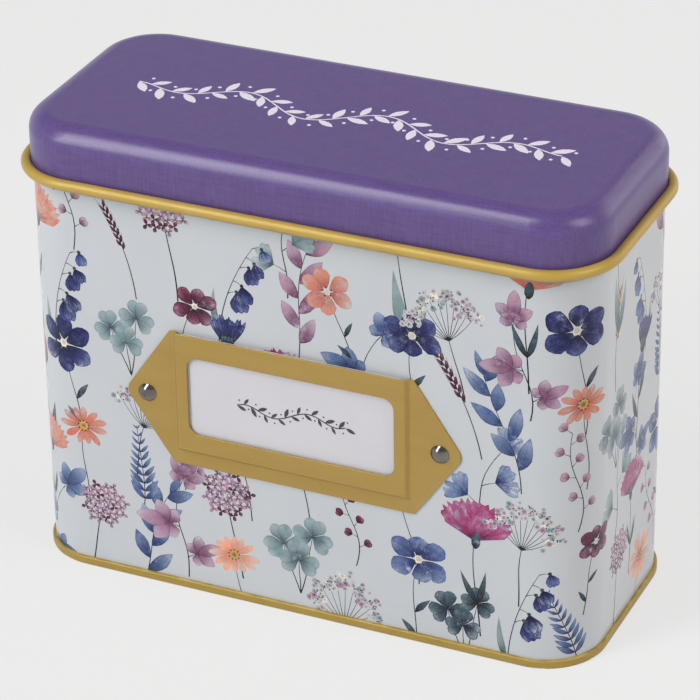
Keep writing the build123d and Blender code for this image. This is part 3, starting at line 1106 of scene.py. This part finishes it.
ball = spray.node("GeometryNodeMeshUVSphere", {}, sockets)["Mesh"]
sockets = {"Geometry": ball, "Rotation": (0, math.pi / 2, 0)}
laid = spray.node("GeometryNodeTransform", {}, sockets)["Geometry"]
x, y, z = spray.parts(spray.node("GeometryNodeInputPosition", {}, {})["Position"])
pointed = (1 - (x * x * 4).least(1)) ** 0.5
reach = (x + leaf_middle) * spray.input["Leaf Length"]
leaf_place = spray.joined(reach, y * pointed * spray.input["Leaf Width"], z * spray.input["Ink Height"])
leaf = spray.node("GeometryNodeSetPosition", {}, {"Geometry": laid, "Position": leaf_place})["Geometry"]
dot_place = spray.joined(
    x * spray.input["Dot Size"] + spray.input["Leaf Length"] * dot_middle,
    y * spray.input["Dot Size"],
    z * spray.input["Ink Height"],
)
dot = spray.node("GeometryNodeSetPosition", {}, {"Geometry": laid, "Position": dot_place})["Geometry"]
parts = [stems]
for shape, way in ((leaf, 1), (dot, -1)):
    turn = spray.joined(0, 0, hand * spray.input["Leaf Turn"] * way)
    aside_turn = spray.node("FunctionNodeEulerToRotation", {}, {"Euler": turn})["Rotation"]
    sockets = {"Rotation": forward, "Rotate By": aside_turn}
    facing = spray.node("FunctionNodeRotateRotation", {"rotation_space": "LOCAL"}, sockets)["Rotation"]
    sockets = {"Points": spots["Points"], "Instance": shape, "Rotation": facing}
    if way > 0:
        sockets["Scale"] = spray.joined(growth, growth, 1)
    parts.append(spray.node("GeometryNodeInstanceOnPoints", {}, sockets)["Instances"])
spray.end(spray.node("GeometryNodeJoinGeometry", {}, {"Geometry": parts})["Geometry"])


def stem_mesh(name, line):
    """A line on the flat, in millimetres, as the edges of a mesh."""
    mesh = bpy.data.meshes.new(name)
    edges = [(step, step + 1) for step in range(len(line) - 1)]
    mesh.from_pydata([(x * mm, y * mm, 0) for x, y in line], edges, [])
    return mesh


def wave(length, waves, rise, steps):
    """A wavy line about the middle, whose waves die away towards its ends."""
    shares = np.linspace(-0.5, 0.5, steps)
    return [(length * s, rise * math.sin(full_turn * waves * s) * (1 - (2 * s) ** 4)) for s in shares]


def ink(name, light, dark):
    """Screen ink laid over another finish, a little uneven."""
    coat = finish(name)
    at = coat.place()
    tone = coat.mix(coat.noise(at, 700, 3), light, dark)
    return coat.paint({"Base Color": tone, "Roughness": 0.35 + coat.noise(at, 1500, 2) * 0.1})


white_ink = ink("lid_white_ink", colour(232, 228, 240), colour(214, 208, 226))
values = {"Material": white_ink, "Seed": 4, "Leaf Turn": 0.85, "Ink Height": ink_height * mm}
values |= {"Stem Width": 0.45 * mm, "Leaf Length": 5.6 * mm, "Leaf Width": 2.2 * mm}
values |= {"Leaf Spacing": 3.1 * mm, "Dot Size": 0.9 * mm}
line = stem_mesh("lid_garland", wave(garland_length, garland_waves, garland_rise, 120))
garland = spray.grow("lid_garland", line, values)
garland.data.transform(Matrix.Translation((0, 0, lid_top * mm)))
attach(garland, "lid")


# Hinge: a bright drawn steel wire in the back of the curl, held by two straps of gold-lacquered
# tinplate that are folded round it, pass through the neck and are spread flat inside.
wire_steel = finish("hinge_wire_steel")
at = wire_steel.place()
drawn_lines = wire_steel.noise(wire_steel.stretch(at, (0.03, 1, 1)), 5200, 2)
stain = wire_steel.noise(at, 190, 4, 0.6)
sockets = {
    "Base Color": wire_steel.mix(stain, colour(150, 148, 146), colour(198, 198, 198)),
    "Metallic": 1.0,
    "Roughness": 0.2 + drawn_lines * 0.2,
    "Normal": wire_steel.bump(drawn_lines, 0.01 * mm, 0.4),
}
cover("hinge_wire", wire_steel.paint(sockets))

strap_gold = finish("hinge_strap_gold")
at = strap_gold.place()
sockets = {
    "Base Color": gold_tone(strap_gold, at),
    "Metallic": gold_metallic,
    "Roughness": 0.3 + strap_gold.noise(at, 400, 3) * 0.16,
    "Normal": orange_peel(strap_gold, at),
}
cover("hinge_strap_left", strap_gold.paint(sockets))
cover("hinge_strap_right", strap_gold.owner)


# Label holder: a hexagon pressed from sheet steel, with a pocket whose front is a window. Its folds
# are round, its cut edges are broken, and it is sprayed satin gold.
fold_radius = 0.3
edge_radius = 0.09
fold_angles = (math.radians(25), math.radians(70))

holder_mesh = bmesh.new()
holder_mesh.from_mesh(nodes["label_holder"].data)
bmesh.ops.remove_doubles(holder_mesh, verts=holder_mesh.verts, dist=1e-7)
bmesh.ops.dissolve_limit(
    holder_mesh, angle_limit=math.radians(1), verts=holder_mesh.verts, edges=holder_mesh.edges
)
folds = [e for e in holder_mesh.edges if fold_angles[0] < e.calc_face_angle() < fold_angles[1]]
rounding = {"segments": 3, "profile": 0.5, "affect": "EDGES", "clamp_overlap": True}
bmesh.ops.bevel(holder_mesh, geom=folds, offset=fold_radius * mm, **rounding)
cuts = [e for e in holder_mesh.edges if e.calc_face_angle() > fold_angles[1]]
rounding["segments"] = 2
bmesh.ops.bevel(holder_mesh, geom=cuts, offset=edge_radius * mm, **rounding)
pressing = bpy.data.objects.new("holder_pressing", bpy.data.meshes.new("holder_pressing"))
bpy.context.scene.collection.objects.link(pressing)
holder_mesh.to_mesh(pressing.data)
holder_mesh.free()
pressing.data.shade_smooth()
pressing.modifiers.new("even_faces", "WEIGHTED_NORMAL")

holder = finish("holder_gold")
at = holder.place()
flow = holder.noise(holder.stretch(at, (0.25, 1, 1)), 240, 3)
fleck = holder.noise(at, 2600, 2)
sockets = {
    "Base Color": holder.mix(flow * 0.7 + fleck * 0.3, colour(160, 130, 64), colour(178, 148, 80)),
    "Metallic": 0.35,
    "Roughness": 0.3 + fleck * 0.08,
    "Normal": holder.bump(flow * 2 + fleck * 0.3, 0.02 * mm, 0.35),
}
pressing.data.materials.append(holder.paint(sockets))
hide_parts("label_holder")
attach(pressing, "tin")


# Rivets: steel with domed heads under polished nickel plate. Their colour is painted dark and patchy,
# a painted reflection of dark surroundings in the domes. The header leaves them faintly uneven, so
# their reflections waver.
nickel = finish("rivet_nickel")
at = nickel.place()
sockets = {
    # Painted reflection: a dark, patchy nickel colour stands in for the dark room mirrored in the domes.
    "Base Color": nickel.mix(nickel.noise(at, 500, 3), colour(88, 82, 78), colour(148, 143, 138)),
    "Metallic": 1.0,
    "Roughness": 0.1 + nickel.noise(at, 1400, 3) * 0.1,
    "Normal": nickel.bump(nickel.noise(at, 1800, 3), 0.01 * mm, 0.3),
}
cover("rivet_left", nickel.paint(sockets))
cover("rivet_right", nickel.owner)


# Label: a smooth white card slipped into the holder from above, with a small leafy rule printed
# across its middle in dark ink.
label_face = -30.68
leafy_rule_place = (-0.8, 52.9)
leafy_rule_length = 27.0
leafy_rule_waves = 1.5
leafy_rule_rise = 1.5
label_light = colour(204, 203, 208)
label_shade = colour(198, 197, 202)

label_paper = finish("label_paper")
at = label_paper.place()
fibre = label_paper.noise(label_paper.stretch(at, (1, 1, 0.4)), 1900, 3)
sockets = {
    "Base Color": label_paper.mix(label_paper.noise(at, 90, 3), label_shade, label_light),
    "Roughness": 0.5 + fibre * 0.2,
    "Normal": label_paper.bump(fibre, 0.02 * mm, 0.25),
}
cover("label_card", label_paper.paint(sockets))

dark_ink = ink("label_dark_ink", colour(66, 62, 70), colour(50, 46, 54))
values = {"Material": dark_ink, "Seed": 9, "Leaf Turn": 0.8, "Ink Height": ink_height * mm}
values |= {"Stem Width": 0.3 * mm, "Leaf Length": 2.5 * mm, "Leaf Width": 0.95 * mm}
values |= {"Leaf Spacing": 1.7 * mm, "Dot Size": 0.45 * mm}
line = stem_mesh("label_leafy_rule", wave(leafy_rule_length, leafy_rule_waves, leafy_rule_rise, 60))
leafy_rule = spray.grow("label_leafy_rule", line, values)
place = Matrix.Translation((leafy_rule_place[0] * mm, label_face * mm, leafy_rule_place[1] * mm))
leafy_rule.data.transform(place @ Matrix.Rotation(math.pi / 2, 4, "X"))
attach(leafy_rule, "label")


# Index cards: packs of uncoated white card with pale ruled lines on their faces.
# Their edges show the cut fibres and a slight difference in shade from card to card.
rule_pitch = 6.35
rule_width = 0.16
first_rule = 9.0
last_rule = 66.0
square_on = 0.9
pack_count = 6

card_stock = finish("card_stock")
at = card_stock.place()
height = card_stock.parts(at)[2]
flat_side = card_stock.parts(card_stock.place("Normal"))[1].size() > square_on
beat = (card_stock.math("FRACT", height * (1 / (rule_pitch * mm))) - 0.5) * (rule_pitch * mm)
between = (height > first_rule * mm) * (height < last_rule * mm)
ruled = (beat.size() < rule_width * mm) * between * flat_side
shade = card_stock.noise(card_stock.stretch(at, (0.02, 1, 0.02)), 1800, 1) * (1 - flat_side)
paper_tone = card_stock.mix(shade * 0.8, colour(238, 235, 227), colour(206, 200, 188))
fibre = card_stock.noise(at, 2400, 3)
sockets = {
    "Base Color": card_stock.mix(ruled * 0.6, paper_tone, colour(150, 178, 214)),
    "Roughness": 0.75 + fibre * 0.15,
    "Normal": card_stock.bump(fibre, 0.03 * mm, 0.4),
}
card_stock.paint(sockets)
for number in range(1, pack_count + 1):
    cover(f"cards_{number}", card_stock.owner)


# Dividers: thicker coated card in lilac, each with a rounded tab, one step further along than the
# tab in front of it. The cut edges are paler than the coated faces.
divider_stock = finish("divider_stock")
at = divider_stock.place()
coated = divider_stock.parts(divider_stock.place("Normal"))[1].size() > square_on
cloud = divider_stock.noise(at, 60, 3)
fibre = divider_stock.noise(at, 2000, 3)
face_tone = divider_stock.mix(cloud, colour(150, 138, 178), colour(166, 154, 192))
sockets = {
    "Base Color": divider_stock.mix(coated, colour(206, 198, 214), face_tone),
    "Roughness": 0.62 - coated * 0.2 + fibre * 0.1,
    "Normal": divider_stock.bump(fibre, 0.02 * mm, 0.3),
}
divider_stock.paint(sockets)
for number in range(1, pack_count + 1):
    cover(f"divider_{number}", divider_stock.owner)
